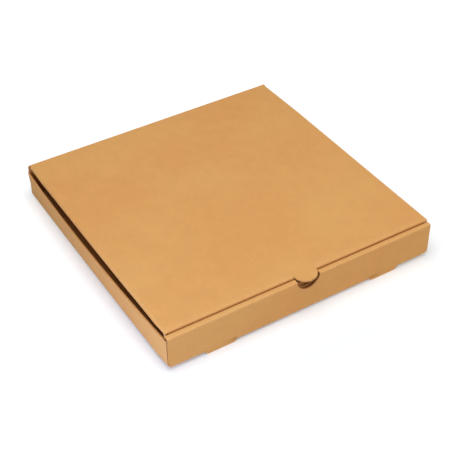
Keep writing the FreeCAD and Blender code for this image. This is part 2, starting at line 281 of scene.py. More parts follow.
def edge_nodes(cells):
    """Nodes that touch both a standing and a missing cell."""
    padded = np.pad(cells, 1)
    around = [padded[1:, 1:], padded[1:, :-1], padded[:-1, 1:], padded[:-1, :-1]]
    return np.any(around, 0) & ~np.all(around, 0)


NEAR_KNIFE = 0.9  # a little more than one cell
HAIR = 0.01  # rounding that is forgiven when the nodes of a ruled line are looked up


def to_knife(across, along, nodes, centre, radius):
    """Move nodes within NEAR_KNIFE onto a round knife line: centre + radius * direction."""
    dx, dy = across - centre[0], along - centre[1]
    reach = np.hypot(dx, dy)
    nodes = nodes & (np.abs(reach - radius) < NEAR_KNIFE)
    across[nodes] = centre[0] + dx[nodes] / reach[nodes] * radius
    along[nodes] = centre[1] + dy[nodes] / reach[nodes] * radius


# %% [markdown]
# ## Corners that hands have blunted
# A folded box never stays as square as its drawing. Its rear right corner is pushed in.
# The ends of the front wall are rounded at the bottom, and the left one at the rim too,
# and the left wall swells a little near its foot. Moving single points would tear pieces
# apart that meet there, so one rule moves every point by its place in space.

# %% Blunt the corners
def ramp(value, start, end):
    """0 before start, 1 after end, and straight between."""
    return np.clip((value - start) / (end - start), 0, 1)


REAR_DENT = 1.8
FOOT_DENT, FOOT_LIFT = 1.2, 1.0
RIM_DENT, RIM_DROP = 0.8, 0.9
SWELL = 0.5


def handled(points):
    """Points moved by the depth of each dent times a ramp along each axis.

    The dents are those of the rear right corner, of the front wall's bottom corners and
    of the left end of its rim. The left wall's swelling follows half a sine along y.
    """
    x, y, z = points.T.copy()
    hand = np.sign(x)
    dent = ramp(y, 90, 170) ** 1.2 * ramp(x, 0, 165) ** 2 * ramp(z, 20, 42)
    x -= REAR_DENT * dent
    dent = ramp(hand * x, 158, 165) ** 2 * ramp(z, 12, 3.5) ** 2 * ramp(y, -140, -160)
    x -= FOOT_DENT * hand * dent
    z += FOOT_LIFT * dent
    dent = ramp(x, -159, -165) ** 2 * ramp(z, 36, 44.5) ** 2 * ramp(y, -158.3, -159)
    x += RIM_DENT * dent
    z -= RIM_DROP * dent
    bulge = ramp(x, -100, -165) * ramp(z, 30, 5) * np.sin(np.pi * ramp(y, -164, 170))
    x -= SWELL * bulge
    return np.stack([x, y, z], 1)


corner = np.array([165.0, 170.0, 45.0])
print("rear right corner moves by", handled(corner[None])[0] - corner, "mm")

# %% [markdown]
# ## From arrays to an object
# foreach_set and from_pydata take whole arrays. Two UV maps go along: `blank` is the place
# on the flat sheet, in metres, and `section` is the place on a cut edge, measured across
# the flutes and through the thickness. Three more numbers tell the material what it is
# on: `cut` edges, the `inside` paper, and `creased` board.

# %% Make a mesh object
SHARP = 35


def make_piece(name, skins):
    """One object out of several skins, with the maps `blank` and `section`.

    Edges that turn by more than SHARP degrees stay sharp, and the others shade smoothly.
    """
    points, faces, cut, blank, creased, inner = [], [], [], [], [], []
    count = 0
    for skin_points, skin_faces, skin_cut, skin_blank, skin_creased, offset in skins:
        points.append(skin_points)
        faces.append(skin_faces + count)
        cut.append(skin_cut)
        blank.append(skin_blank)
        creased.append(skin_creased)
        inner.append(np.arange(len(skin_points)) >= offset)
        count += len(skin_points)
    points, faces, cut, blank, creased, inner = map(
        np.concatenate, (points, faces, cut, blank, creased, inner))
    used, faces = np.unique(faces, return_inverse=True)
    faces = faces.reshape(-1, 4)
    points, blank, creased, inner = points[used], blank[used] / 1000, creased[used], inner[used]
    points = handled(points) / 1000
    mesh = bpy.data.meshes.new(name)
    mesh.from_pydata(points.tolist(), [], faces.tolist())
    corners = faces.ravel()
    flat = mesh.uv_layers.new(name="blank")
    flat.data.foreach_set("uv", blank[corners].astype(np.float32).ravel())
    section = mesh.uv_layers.new(name="section")
    through = np.where(inner[corners], 0.0, 1.0)
    across_flutes = blank[corners][:, 1]
    profile = np.stack([across_flutes, through], 1)
    section.data.foreach_set("uv", profile.astype(np.float32).ravel())
    mark = mesh.attributes.new("cut", "FLOAT", "FACE")
    mark.data.foreach_set("value", cut.astype(np.float32))
    for name_of, values in (("inside", inner), ("creased", creased)):
        layer = mesh.attributes.new(name_of, "FLOAT", "POINT")
        layer.data.foreach_set("value", values.astype(np.float32))
    mesh.shade_smooth()
    mesh.set_sharp_from_angle(angle=math.radians(SHARP))
    piece = bpy.data.objects.new(name, mesh)
    bpy.context.scene.collection.objects.link(piece)
    print(f"{name}: {len(points)} points, {len(faces)} faces")
    return piece


# %% [markdown]
# ## The tray
# One strip runs from the locking tabs up inside the front wall, over the rim, down the
# outside, under the whole box and up the rear wall. The side walls stand on the long
# edges of the base, and their ends turn inwards as corner flaps.

# %% Rows and columns of the tray's blank
FRONT_RUNS = [
    (RIM - BEND - UNDER, 90), (RIM_BACK - FRONT - 2 * BEND, 90), (RIM - BEND - CREASE, 90),
    (REAR - FRONT - 2 * BEND, 90), (REAR_TOP - CREASE, 0),
]
tray_marks = [0.0]
for length, turn in FRONT_RUNS:
    tray_marks += [tray_marks[-1] + length, tray_marks[-1] + length + QUARTER * bool(turn)]
rim_in, rim_a, rim_b, rim_out, ply_end, base_start, base_end, wall_foot, wall_top = tray_marks[1:-1]
TO_Y = FRONT + BEND - base_start
side_start, side_end = WALL_START - TO_Y, WALL_END - TO_Y
NOTCH_LOW = RIM - BEND - (NOTCH_Z - NOTCH) + 1
slot_end = RIM_BACK + SLACK - TO_Y
tab_end = FLOOR + SLACK - UNDER
FLAP_FRONT, FLAP_REAR = 70.0, 38.0
front_flap = side_start - QUARTER - FLAP_FRONT
rear_flap = side_end + QUARTER + FLAP_REAR
STRIP_LOW = 42.9
strip_low = wall_foot + STRIP_LOW - CREASE

rows = ruled([
    (0, ON_TAB), (tab_end, ON_WALL), (front_flap, ON_WALL), (rim_in - NOTCH_LOW, AT_KNIFE),
    (rim_in, IN_FOLD), (rim_a, AT_KNIFE), (rim_b, IN_FOLD), (rim_out, AT_KNIFE),
    (rim_out + NOTCH_LOW, ON_WALL), (ply_end, IN_FOLD), (base_start, ON_EDGE),
    (side_start, ON_EDGE), (slot_end, ON_PANEL), (side_end, ON_EDGE), (base_end, IN_FOLD),
    (wall_foot, ON_WALL), (rear_flap, ON_EDGE), (strip_low, ON_EDGE), (wall_top, ON_EDGE),
])

FOOT_X, FOOT_ROOT, FOOT_TIP = 103.5, 37.5, 30.0
TAB_HALF = FOOT_TIP / 2 - 1
WALL_LOW = QUARTER + SLIT
WALL_HIGH = QUARTER + SIDE_TOP - CREASE
right_marks = [
    (FOOT_X - FOOT_ROOT / 2, ON_TAB), (FOOT_X - TAB_HALF, ON_PANEL), (FOOT_X + TAB_HALF, ON_TAB),
    (FOOT_X + FOOT_ROOT / 2, ON_PANEL), (INNER_HALF, ON_EDGE), (BASE_HALF, IN_FOLD),
    (BASE_HALF + QUARTER, ON_EDGE), (HALF, ON_EDGE), (BASE_HALF + WALL_LOW, ON_WALL),
    (BASE_HALF + WALL_HIGH, ON_EDGE),
]
thumb_marks = [(THUMB - NOTCH - 1, AT_KNIFE), (THUMB + NOTCH + 1, ON_PANEL)]
left_marks = mirrored(right_marks) + [(-right_marks[0][0], ON_PANEL)]
columns = ruled(left_marks + thumb_marks + right_marks)
print(f"tray blank: {len(rows)} rows, {len(columns)} columns")

# %% [markdown]
# ## The knife
# The mask says which cells are left once the die has cut: the notch through both plies of
# the front wall, two slots behind the front crease, the corners, and the slits that let
# the corner flaps turn in. Booleans could cut a finished solid, but they leave long thin
# triangles that shade badly, and the blank's measure would be lost.

# %% Cut the tray's blank
def centres(lines):
    """Middle of each gap between neighbouring lines."""
    return (lines[:-1] + lines[1:]) / 2


def between(value, low, high):
    """Where a value lies between two marks."""
    return (value > low) & (value < high)


TAB_FOOT = (RIM_BACK - BOARD / 2, UNDER)
chain = folded(TAB_FOOT, 90, FRONT_RUNS, rows)[0]
row, column = np.meshgrid(centres(rows), centres(columns), indexing="ij")
wide = np.abs(column)
height = np.broadcast_to(centres(chain[:, 1])[:, None], row.shape)
foot_place = np.abs(wide - FOOT_X)

cells = between(row, tab_end, rim_in) & (wide < INNER_HALF)
cells |= between(row, 0, tab_end) & (foot_place < TAB_HALF)
cells |= (between(row, rim_in, ply_end) | between(row, wall_foot, strip_low)) & (wide < HALF)
cells |= between(row, strip_low, wall_top) & between(wide, LID_HALF - LID_SHIFT, HALF)
cells |= between(row, ply_end, wall_foot) & (wide < BASE_HALF)
cells |= between(row, side_start, side_end) & (wide > BASE_HALF)
flap_rows = between(row, front_flap, side_start) | between(row, side_end, rear_flap)
cells |= flap_rows & (wide > BASE_HALF + WALL_LOW)
cells &= ~(between(row, ply_end, slot_end) & (foot_place < FOOT_ROOT / 2))
cells &= ~((row < ply_end) & (np.hypot(column - THUMB, height - NOTCH_Z) < NOTCH))
print(f"{cells.sum()} of {cells.size} cells are board")

# %% Bring the notch and the slots to their knife lines
across, along = np.meshgrid(columns, rows)
edges = edge_nodes(cells)
above = NOTCH_Z - (RIM - BEND)
outer_ply = edges & (along > rim_out - HAIR) & (along < ply_end)
to_knife(across, along, outer_ply, (THUMB, rim_out - above), NOTCH)
to_knife(across, along, edges & (along < rim_in + HAIR), (THUMB, rim_in + above), NOTCH)

level = np.broadcast_to(chain[:, 1][:, None], across.shape)
half_width = np.sqrt(np.maximum(NOTCH**2 - (level - NOTCH_Z) ** 2, 0))
over_rim = edges & between(along, rim_in + HAIR, rim_out - HAIR)
nodes = over_rim & (np.abs(across - THUMB) < NOTCH + NEAR_KNIFE)
across[nodes] = THUMB + np.sign(across[nodes] - THUMB) * half_width[nodes]

slot_depth = RIM_BACK + SLACK - FRONT - BOARD / 2
depth = np.clip(chain[:, 0] - (FRONT + BOARD / 2), 0, None)[:, None] / slot_depth
slot_half = (FOOT_ROOT + (FOOT_TIP - FOOT_ROOT) * depth) / 2
beside_slot = between(along, ply_end, slot_end + HAIR)
for side in (-1, 1):
    from_foot = across - side * FOOT_X
    nodes = beside_slot & (np.abs(np.abs(from_foot) - FOOT_ROOT / 2) < HAIR)
    across[nodes] = (side * FOOT_X + np.sign(from_foot) * slot_half)[nodes]
print("notch radius", NOTCH, "mm, slots", FOOT_ROOT, "mm wide")

# %% [markdown]
# ## Folding up the tray
# The middle strip follows the profile. A side wall turns up about its own crease and
# bulges: its top edge stands out by bow * sin(pi * u) ** 0.7 + lean * u, with u from 0 at
# the front to 1 at the rear, because nothing holds a low wall but its corner flaps. Then
# the hand of the folder shows: the inner ply of the front wall stands off a little more on
# the left, the side walls' front ends gape at the top, and the base sags between the feet.

# %% Fold the tray
LEFT_BOW, RIGHT_BOW, REAR_LEAN = 4.1, 2.6, 2.4
WALL = SIDE_TOP - CREASE
FLAP_TAPER = 3.0
GAPE, SAG = 0.7, 1.1
RIM_OFF, RIM_ASKEW = 0.45, 0.35


def stand_off(x):
    """How far the rim's back stands off, falling in a line from left to right."""
    return RIM_OFF - RIM_ASKEW * x / HALF


def fold_tray(across, along):
    """Place and outside normal in the finished tray of each point of its blank.

    A side wall stands on a quarter circle about its crease, along up. Its ends go round
    another quarter circle about up, and then straight inwards, along minus out, as flaps
    that narrow by FLAP_TAPER above and below.
    """
    middle, normal = strip(TAB_FOOT, FRONT_RUNS, across, along)
    zero = 0 * across
    hand = np.sign(across)
    beyond = np.abs(across) - BASE_HALF
    y = np.clip(along + TO_Y, WALL_START, WALL_END)
    u = (y - WALL_START) / (WALL_END - WALL_START)
    bow = np.where(hand < 0, LEFT_BOW, RIGHT_BOW)
    lean = np.arcsin((bow * np.sin(np.pi * u).clip(0, 1) ** 0.7 + REAR_LEAN * u) / WALL)
    up = np.stack([hand * np.sin(lean), zero, np.cos(lean)], -1)
    out = np.stack([hand * np.cos(lean), zero, -np.sin(lean)], -1)
    centre = np.stack([hand * BASE_HALF, y, zero + CREASE], -1)
    high = beyond - QUARTER

    turn = np.clip(beyond / QUARTER, 0, 1) * (np.pi / 2 - lean)
    spoke = np.stack([hand * np.sin(turn), zero, -np.cos(turn)], -1)
    standing = (beyond > 0) & between(along, side_start - HAIR, side_end + HAIR)
    wall = centre + MIDDLE * spoke + up * np.maximum(high, 0)[..., None]
    middle[standing], normal[standing] = wall[standing], spoke[standing]

    past = np.where(u > 0.5, along - side_end, side_start - along)
    way = np.where(u > 0.5, 1.0, -1.0)
    turn = np.clip(past / QUARTER, 0, 1) * np.pi / 2
    spoke = out * np.cos(turn)[..., None] + np.stack([zero, way * np.sin(turn), zero], -1)
    inward = np.maximum(past - QUARTER, 0)
    share = inward / np.where(u > 0.5, FLAP_REAR, FLAP_FRONT)
    waist = (WALL + SLIT) / 2
    high = waist + (high - waist) * (1 - 2 * FLAP_TAPER * share / (WALL - SLIT))
    flap = centre + MIDDLE * spoke + up * high[..., None] - out * inward[..., None]
    turned_in = (beyond > WALL_LOW - HAIR) & ~standing
    middle[turned_in], normal[turned_in] = flap[turned_in], spoke[turned_in]

    upright = standing | turned_in
    gape = GAPE * ramp(middle[..., 2], CREASE, SIDE_TOP) * ramp(u, 0.16, 0)
    back = np.interp(along, [0, rim_in, rim_a, rim_b], [0, 1, 1, 0]) * stand_off(across)
    middle[..., 1] += np.where(upright, gape, back)
    sag = np.interp(along, [ply_end - 12, ply_end, base_start, base_start + 60], [0, 1, 1, 0])
    sag *= SAG * ramp(np.abs(across), 100, 84)
    middle[..., 2] -= np.where(upright, 0, sag)
    return middle, normal


middle, normal = fold_tray(across, along)
tray_skins = [board_skin(middle, normal, cells, across, along)]
# Only the front wall's ends keep open flutes: the others get half the painted hollow shade and none
# of the painted gap shade.
OPEN, HALF_SHUT = 0.9, 0.7
points, faces, cut = tray_skins[0][:3]
cut[(cut > OPEN) & (points[faces, 1].mean(1) > RIM_BACK)] = HALF_SHUT
print((cut > OPEN).sum(), "faces of open flutes, all at the front wall's ends")
print("the lid has rubbed the others half shut")

# %% [markdown]
# ## The feet
# Two tongues of the front wall aren't folded with it: they stay upright and reach below
# the base, where they hold the inner ply's tabs. They are small sheets of their own,
# narrower towards the ground, with ends that handling has softened.

# %% Feet
def foot(side):
    """A tongue whose half width falls from root to tip with the square of the way down."""
    spread = np.linspace(-1, 1, 25)
    z = np.concatenate([np.linspace(0, UNDER, 13), [CREASE]])
    spread, z = np.meshgrid(spread, z)
    down = np.clip(1 - z / UNDER, 0, 1)
    half = (FOOT_ROOT - (FOOT_ROOT - FOOT_TIP) * down**2) / 2
    x = side * FOOT_X + spread * half
    middle = np.stack([x, 0 * x + FRONT + BOARD / 2, z], -1)
    normal = np.broadcast_to(np.array([0.0, -1.0, 0.0]), middle.shape)
    return board_skin(middle, normal, uncut(x), x, ply_end + CREASE - z)


tray_skins += [foot(-1), foot(1)]
tray = make_piece("folded_tray", tray_skins)
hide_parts("tray")
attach(tray, "tray")

# %% [markdown]
# ## The lid
# The lid's blank continues the rear wall. Its front flap tucks in behind the front wall
# and its side flaps turn down inside the side walls, and lean in because the walls stand
# in their way. The half-moon tongue stays level where the flap was cut away around it.
# The lid's own folds are rounder than the tray's, since no second ply presses on them, and
# the left one, where the wall stands away from it, is the softest.

# %% Rows and columns of the lid's blank
LID_ROUND, SOFT_ROUND = 1.3, 1.95
LID_OUT = LID_ROUND + BOARD / 2
LID_LEVEL = LID_TOP - BOARD / 2
LID_CENTRE = LID_TOP - LID_OUT
LID_EDGE = LID_HALF - LID_OUT
LID_START = LID_FRONT + LID_OUT
STRIP_BACK = 166.25
STRIP_RUNS = [(LID_BEND - STRIP_LOW, 90), (REAR - BEND - STRIP_BACK, 0)]
lid_blank_end = strip_low + LID_BEND - STRIP_LOW + QUARTER + REAR - BEND - STRIP_BACK

TUCK_ABOVE, SIDE_ABOVE = 8.0, 20.0  # how high the flaps end above the tray's floor
TUCK_EXTRA = math.radians(2.2)
tuck_drop = LID_CENTRE - FLOOR - TUCK_ABOVE
tuck_lean = math.atan(tuck_drop / (2 * (HINGE - LID_FRONT))) + TUCK_EXTRA
TUCK_BEND, TUCK_LONG = math.pi / 2 + tuck_lean, tuck_drop / math.cos(tuck_lean)
TUCK_HALF, TUCK_TAPER = LID_EDGE - 0.5, 16.5

WALL_CLEAR = 0.4
side_drop = LID_CENTRE - FLOOR - SIDE_ABOVE
edge_inside = LID_EDGE + LID_SHIFT - HALF + BOARD + WALL_CLEAR
edge_below = LID_CENTRE - SIDE_TOP
side_lean = math.atan2(edge_inside, edge_below)
side_lean += math.asin(LID_OUT / math.hypot(edge_inside, edge_below))
SIDE_BEND, SIDE_LONG = math.pi / 2 + side_lean, side_drop / math.cos(side_lean)
SIDE_END, SIDE_TAPER = REAR - 4.0, 14.0

tuck_start = LID_START - LID_ROUND * TUCK_BEND
flap_start = LID_EDGE + LID_ROUND * SIDE_BEND
lid_thumb = THUMB - LID_SHIFT
lid_rows = ruled([
    (tuck_start - TUCK_LONG, ON_WALL), (LID_START - TONGUE - 1, AT_KNIFE),
    (tuck_start, IN_FOLD), (LID_START, ON_PANEL), (SIDE_END, ON_EDGE),
    (STRIP_BACK, ON_EDGE), (HINGE, ON_EDGE),
])
lid_marks = [
    (TUCK_HALF, ON_EDGE), (LID_EDGE, IN_FOLD), (flap_start, ON_WALL),
    (flap_start + SIDE_LONG, ON_EDGE),
]
tongue_marks = [
    (-TUCK_HALF, ON_PANEL), (lid_thumb - TONGUE - 1, AT_KNIFE),
    (lid_thumb + TONGUE + 1, ON_PANEL),
]
lid_columns = ruled(mirrored(lid_marks) + tongue_marks + lid_marks)
print(f"the tuck flap leans in by {math.degrees(tuck_lean):.1f} degrees")
print(f"the side flaps lean in by {math.degrees(side_lean):.1f} degrees")

# %% Cut the lid's blank
row, column = np.meshgrid(centres(lid_rows), centres(lid_columns), indexing="ij")
wide = np.abs(column)
cells = between(row, LID_START, STRIP_BACK) & (wide < LID_EDGE)
cells |= between(row, tuck_start, LID_START) & (wide < LID_EDGE)
cells |= (row < tuck_start) & (wide < TUCK_HALF)
cells |= between(row, LID_START, SIDE_END) & (wide > LID_EDGE)
cells &= ~((row < LID_START) & (np.hypot(column - lid_thumb, row - LID_START) < TONGUE))
across, along = np.meshgrid(lid_columns, lid_rows)
nodes = edge_nodes(cells) & (along < LID_START - HAIR)
to_knife(across, along, nodes, (lid_thumb, LID_START), TONGUE)
print(f"{cells.sum()} of {cells.size} cells are board")

# %% [markdown]
# ## How the lid lies on the tray
# The panel hangs by 0.7 mm in its middle and keeps a few shallow waves from the stack of
# blanks that it came from. It lies a little askew: its front edge follows the rim that
# stands off more on the left, and its left edge runs in by a millimetre in front.

# %% Fold the lid
LID_BACK = 0.5
ALONG_LEFT = [-158, -110, -70, -20, 110, 160]
RUN_IN = [0.9, 1.0, 0.5, 0.25, 0.3, 0]  # how far the left edge runs in at those places
HANG, WAVES = 0.7, 0.16
HOLD_Y = 160  # the panel is held up this far in front and behind


def lid_back(x):
    """How far the lid's front fold lies back, so that it clears the rim."""
    return stand_off(x) + LID_BACK


def laid_on(middle):
    """Points of the lid moved onto the tray: back by lid_back, and askew on the left."""
    x, y = middle[..., 0], middle[..., 1]
    back = lid_back(x) * ramp(y, HINGE - 20, LID_START)
    askew = np.interp(y, ALONG_LEFT, RUN_IN) * ramp(-x, 0, HALF) ** 2
    return middle + np.stack([LID_SHIFT + askew, back, 0 * x], -1)


def fold_lid(across, along):
    """Place and outside normal in the closed lid of each point of its blank.

    The panel hangs by HANG times a parabola each way, with waves made of two crossed
    sines. A flap goes round an arc, of LID_ROUND or up to SOFT_ROUND on the left, until
    it leans in, then runs straight, and narrows towards its end by its taper.
    """
    zero = 0 * across
    hand = np.sign(across)
    crown = np.clip(1 - (across / LID_EDGE) ** 2, 0, 1)
    crown *= np.clip(1 - (along / HOLD_Y) ** 2, 0, 1)
    wave = np.sin(across / 21 + 1.3 * np.sin(along / 34)) * np.sin(along / 17 + across / 55)
    middle = np.stack([across, along, LID_LEVEL - crown * (HANG + WAVES * wave)], -1)
    normal = np.stack([zero, zero, zero + 1], -1)

    past = LID_START - along
    turn = np.clip(past / LID_ROUND, 0, TUCK_BEND)
    flat = np.maximum(past - LID_ROUND * TUCK_BEND, 0)
    spoke = np.stack([zero, -np.sin(turn), np.cos(turn)], -1)
    x = across * (1 - TUCK_TAPER * flat / TUCK_LONG / TUCK_HALF)
    tuck = np.stack([x, zero + LID_START, zero + LID_CENTRE], -1) + LID_ROUND * spoke
    tuck += flat[..., None] * np.stack([zero, -np.cos(turn), -np.sin(turn)], -1)
    nodes = past > 0
    middle[nodes], normal[nodes] = tuck[nodes], spoke[nodes]

    past = np.abs(across) - LID_EDGE
    turn = np.clip(past / LID_ROUND, 0, SIDE_BEND)
    flat = np.maximum(past - LID_ROUND * SIDE_BEND, 0)
    spoke = np.stack([hand * np.sin(turn), zero, np.cos(turn)], -1)
    waist = (LID_START + SIDE_END) / 2
    y = waist + (along - waist) * (1 - 2 * SIDE_TAPER * flat / SIDE_LONG / (SIDE_END - LID_START))
    soft = (hand < 0) * ramp(along, LID_START, LID_START + 18) * ramp(along, 162, 130)
    bend = LID_ROUND + (SOFT_ROUND - LID_ROUND) * soft
    side = np.stack([hand * LID_EDGE, y, LID_LEVEL - bend], -1) + bend[..., None] * spoke
    side += flat[..., None] * np.stack([hand * np.cos(turn), zero, -np.sin(turn)], -1)
    nodes = (past > 0) & between(along, LID_START - HAIR, SIDE_END + HAIR)
    middle[nodes], normal[nodes] = side[nodes], spoke[nodes]
    return laid_on(middle), normal


def on_blank(y):
    """Place along the whole blank of a point of the lid's panel."""
    return lid_blank_end + STRIP_BACK - y


middle, normal = fold_lid(across, along)
lid_skins = [board_skin(middle, normal, cells, across + LID_SHIFT, on_blank(along))]
# Taking the crease mark off the lid's side folds keeps the pale crease colour, which is partly a
# painted highlight, off them.
points, creased = lid_skins[0][0], lid_skins[0][4]
beside = np.abs(points[:, 0] - LID_SHIFT) > TUCK_HALF
creased[beside & (points[:, 1] > LID_START + 5)] = 0
print("hands rub the front fold of the lid, and not its side folds")

# %% [markdown]
# ## The tongue and the corners
# The thumb lifts the lid by a half-moon tongue. A fan of triangles would meet in a sharp
# pole, so a square grid is pressed into a half disc instead. Where the flaps part at the
# front corners, the board is pressed into an eighth of a ball.

# %% The tongue
TONGUE_OUT = TONGUE - 0.05
DROOP = 0.25
u, v = np.meshgrid(np.linspace(-1, 1, 33), np.linspace(-1, 0, 17))
x = THUMB + TONGUE_OUT * u * np.sqrt(1 - v**2 / 2)
y = LID_FRONT + BEND + TONGUE_OUT * v * np.sqrt(1 - u**2 / 2)
y += (LID_START - LID_FRONT - BEND + lid_back(x)) * (1 + v)
middle, normal = level_sheet(x, y, LID_LEVEL - DROOP * v**2)
lid_skins.append(board_skin(middle, normal, uncut(x), x, on_blank(y), pressed=True))
print("the tongue reaches", round(LID_FRONT - y.min(), 1), "mm past the lid's edge")


# %% Corners between the flaps, and the one beside the hinge
CORNER_DOWN = 3


def pressed_corner(hand):
    """An eighth of a ball, pressed square: its outside is centre + LID_OUT * shape.

    shape is (sin a cos b, -sin a sin b, cos a), its first two parts divided by
    (cos b ** 5 + sin b ** 5) ** (1 / 5). a starts at 4 degrees, under the panel, and
    below the ball the corner runs CORNER_DOWN straight down, where the two flaps part.
    """
    path = np.linspace(0, 1, 19)
    tilt = np.radians(np.interp(path, [0, 0.7, 1], [4, 90, 90]))
    a, b = np.meshgrid(tilt, np.radians(np.linspace(0, 90, 13)))
    fall = np.broadcast_to(np.interp(path, [0, 0.7, 1], [0, 0, CORNER_DOWN]), a.shape)
    normal = np.stack([hand * np.sin(a) * np.cos(b), -np.sin(a) * np.sin(b), np.cos(a)], -1)
    centre = np.stack([0 * a + hand * LID_EDGE, 0 * a + LID_START, LID_CENTRE - fall], -1)
    square = (np.cos(b) ** 5 + np.sin(b) ** 5) ** -0.2
    shape = normal * np.stack([square, square, np.ones(a.shape)], -1)
    middle = laid_on(centre + LID_OUT * shape - BOARD / 2 * normal)
    x, along = middle[..., 0], on_blank(middle[..., 1])
    return board_skin(middle, normal, uncut(a), x, along, pressed=True)


lid_skins += [pressed_corner(-1), pressed_corner(1)]

STRIP_HALF = LID_HALF - LID_SHIFT
x, y = np.meshgrid([STRIP_HALF, LID_HALF + LID_SHIFT], [STRIP_BACK, HINGE])
middle, normal = level_sheet(x, y, 0 * x + LID_LEVEL)
lid_skins.append(board_skin(middle, normal, uncut(x), x, on_blank(y)))
lid = make_piece("folded_lid", lid_skins)
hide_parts("lid")
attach(lid, "lid")

# %% [markdown]
# ## The hinge
# Rear wall and lid are one sheet, and the lid turns on a crease of that sheet. No pin or
# gap shows, so a narrow strip round the crease closes the joint. It is drawn as it lies
# with the lid shut, and is tied to neither body.

# %% Hinge crease
fold_start = LID_BEND - STRIP_LOW
hinge_rows = ruled([
    (0, BESIDE_FOLD), (fold_start, IN_FOLD / 2), (fold_start + QUARTER, BESIDE_FOLD),
    (lid_blank_end - strip_low, ON_EDGE),
])
hinge_columns = ruled([(-STRIP_HALF, ON_PANEL), (STRIP_HALF, ON_EDGE)])
across, along = np.meshgrid(hinge_columns, hinge_rows)
middle, normal = strip((HINGE, STRIP_LOW), STRIP_RUNS, across, along)
skin = board_skin(middle, normal, uncut(across), across, along + strip_low)
hinge = make_piece("hinge_crease", [skin])
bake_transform(hinge)
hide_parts("lid")

# %% [markdown]
# ## Plain brown board
# Unbleached kraft paper is even from afar. Near by it shows long fibres along the web,
# pale and dark flecks, and a faint ribbing where the flutes press through. An image
# texture could show that, but it would end in a seam and a pixel size. Layers of noise
# have neither, and they are read from the blank's own measure, so they run on round the
# folds as the paper does.

# %% Shader helpers
def add(tree, kind, inputs=(), **settings):
    """A new shader node with its settings, and a value or a link for each named input."""
    node = tree.nodes.new(kind)
    for name, value in settings.items():
        setattr(node, name, value)
    for name, value in dict(inputs).items():
        if isinstance(value, bpy.types.NodeSocket):
            tree.links.new(value, node.inputs[name])
        else:
            node.inputs[name].default_value = value
    return node


def sum_of(tree, kind, first, second, third=0.0):
    """Math on up to three numbers: kind is the operation of the Math node."""
    return add(tree, "ShaderNodeMath", {0: first, 1: second, 2: third}, operation=kind).outputs[0]


def stretched(tree, value, low, high, to_low=0.0, to_high=1.0):
    """A number moved from the range low..high to to_low..to_high, and held inside it."""
    spread = {
        "Value": value, "From Min": low, "From Max": high, "To Min": to_low, "To Max": to_high}
    return add(tree, "ShaderNodeMapRange", spread).outputs["Result"]


def noise(tree, vector, scale, detail=3.0):
    """Cloudy noise about 0.5, with blobs of one over scale, in metres."""
    spread = {"Vector": vector, "Scale": scale, "Detail": detail}
    return add(tree, "ShaderNodeTexNoise", spread).outputs["Fac"]


def over(tree, share, below, above):
    """The colour below with a share of the colour above laid over it."""
    node = add(tree, "ShaderNodeMix", {0: share, 6: below, 7: above}, data_type="RGBA")
    return node.outputs[2]


board = bpy.data.materials.new("kraft_board")
board.use_nodes = True
tree = board.node_tree
paint = tree.nodes["Principled BSDF"]
blank = add(tree, "ShaderNodeUVMap", uv_map="blank").outputs[0]
section = add(tree, "ShaderNodeUVMap", uv_map="section").outputs[0]
print("board material reads", [node.uv_map for node in tree.nodes if node.type == "UVMAP"])

# %% [markdown]
# ## Paper
# The paper's colour drifts between a redder and a yellower brown over a hand's width.
# On that lie three finer layers: a mottle of a finger's width, fibres ten times as long
# as they are wide, and flecks of bark half a millimetre across.

# %% Paper colour
KRAFT_RED = (0.750, 0.372, 0.120, 1)
KRAFT_YELLOW = (0.758, 0.400, 0.132, 1)
BARK = (0.42, 0.20, 0.065, 1)
INNER_PAPER = (0.73, 0.358, 0.113, 1)
DRIFT, MOTTLE, FIBRES, FLECKS = 8, 55, 700, 1500  # blobs in a metre
FIBRE_LONG = 10

drift = stretched(tree, noise(tree, blank, DRIFT, 2), 0.38, 0.62)
paper = over(tree, drift, KRAFT_RED, KRAFT_YELLOW)
mottle = noise(tree, blank, MOTTLE, 4)
squeeze = {"Vector": blank, "Scale": (1, 1 / FIBRE_LONG, 1)}
long_way = add(tree, "ShaderNodeMapping", squeeze).outputs[0]
fibres = noise(tree, long_way, FIBRES, 3)
flecks = noise(tree, blank, FLECKS, 1)
inside = add(tree, "ShaderNodeAttribute", attribute_name="inside").outputs["Fac"]
paper = over(tree, inside, paper, INNER_PAPER)
paper = over(tree, stretched(tree, flecks, 0.70, 0.78, 0, 0.55), paper, BARK)
shade = sum_of(tree, "ADD", stretched(tree, mottle, 0.3, 0.7, -0.022, 0.022),
               stretched(tree, fibres, 0.3, 0.7, 0.97, 1.03))
print("paper from", KRAFT_RED[:3], "to", KRAFT_YELLOW[:3])

# %% [markdown]
# ## Flutes and creases
# Flutes stand 3.2 mm apart and run from left to right. They dimple the papers by a few
# thousandths of a millimetre, more in some places than in others. Creased board has a
# rubbed, paler skin, broken up where the rubbing missed it. That pale colour is partly
# wear and partly a painted highlight, where the rounded folds of the rim catch the light.

# %% Flutes and creases
PITCH = 0.0032
RUBBED_AND_HIGHLIGHT = (0.84, 0.50, 0.205, 1)
RIBBING = 0.007

place = add(tree, "ShaderNodeSeparateXYZ", {0: blank}).outputs
phase = sum_of(tree, "MULTIPLY", place["Y"], 2 * math.pi / PITCH)
patches = stretched(tree, noise(tree, blank, 18, 1), 0.35, 0.65, 0.25, 1)
dimple = sum_of(tree, "MULTIPLY", sum_of(tree, "SINE", phase, 0.0), patches)
shade = sum_of(tree, "MULTIPLY_ADD", dimple, RIBBING, shade)
times = add(tree, "ShaderNodeVectorMath", {0: paper, "Scale": shade}, operation="SCALE")
shaded = times.outputs[0]
creased = add(tree, "ShaderNodeAttribute", attribute_name="creased").outputs["Fac"]
# pale crease colour: rubbed paper, and a painted highlight on the rounded folds
missed = stretched(tree, noise(tree, blank, 160, 4), 0.35, 0.6, 0.08, 0.32)
rubbed = sum_of(tree, "MULTIPLY", creased, missed)
shaded = over(tree, rubbed, shaded, RUBBED_AND_HIGHLIGHT)
print("flutes every", PITCH * 1000, "mm")
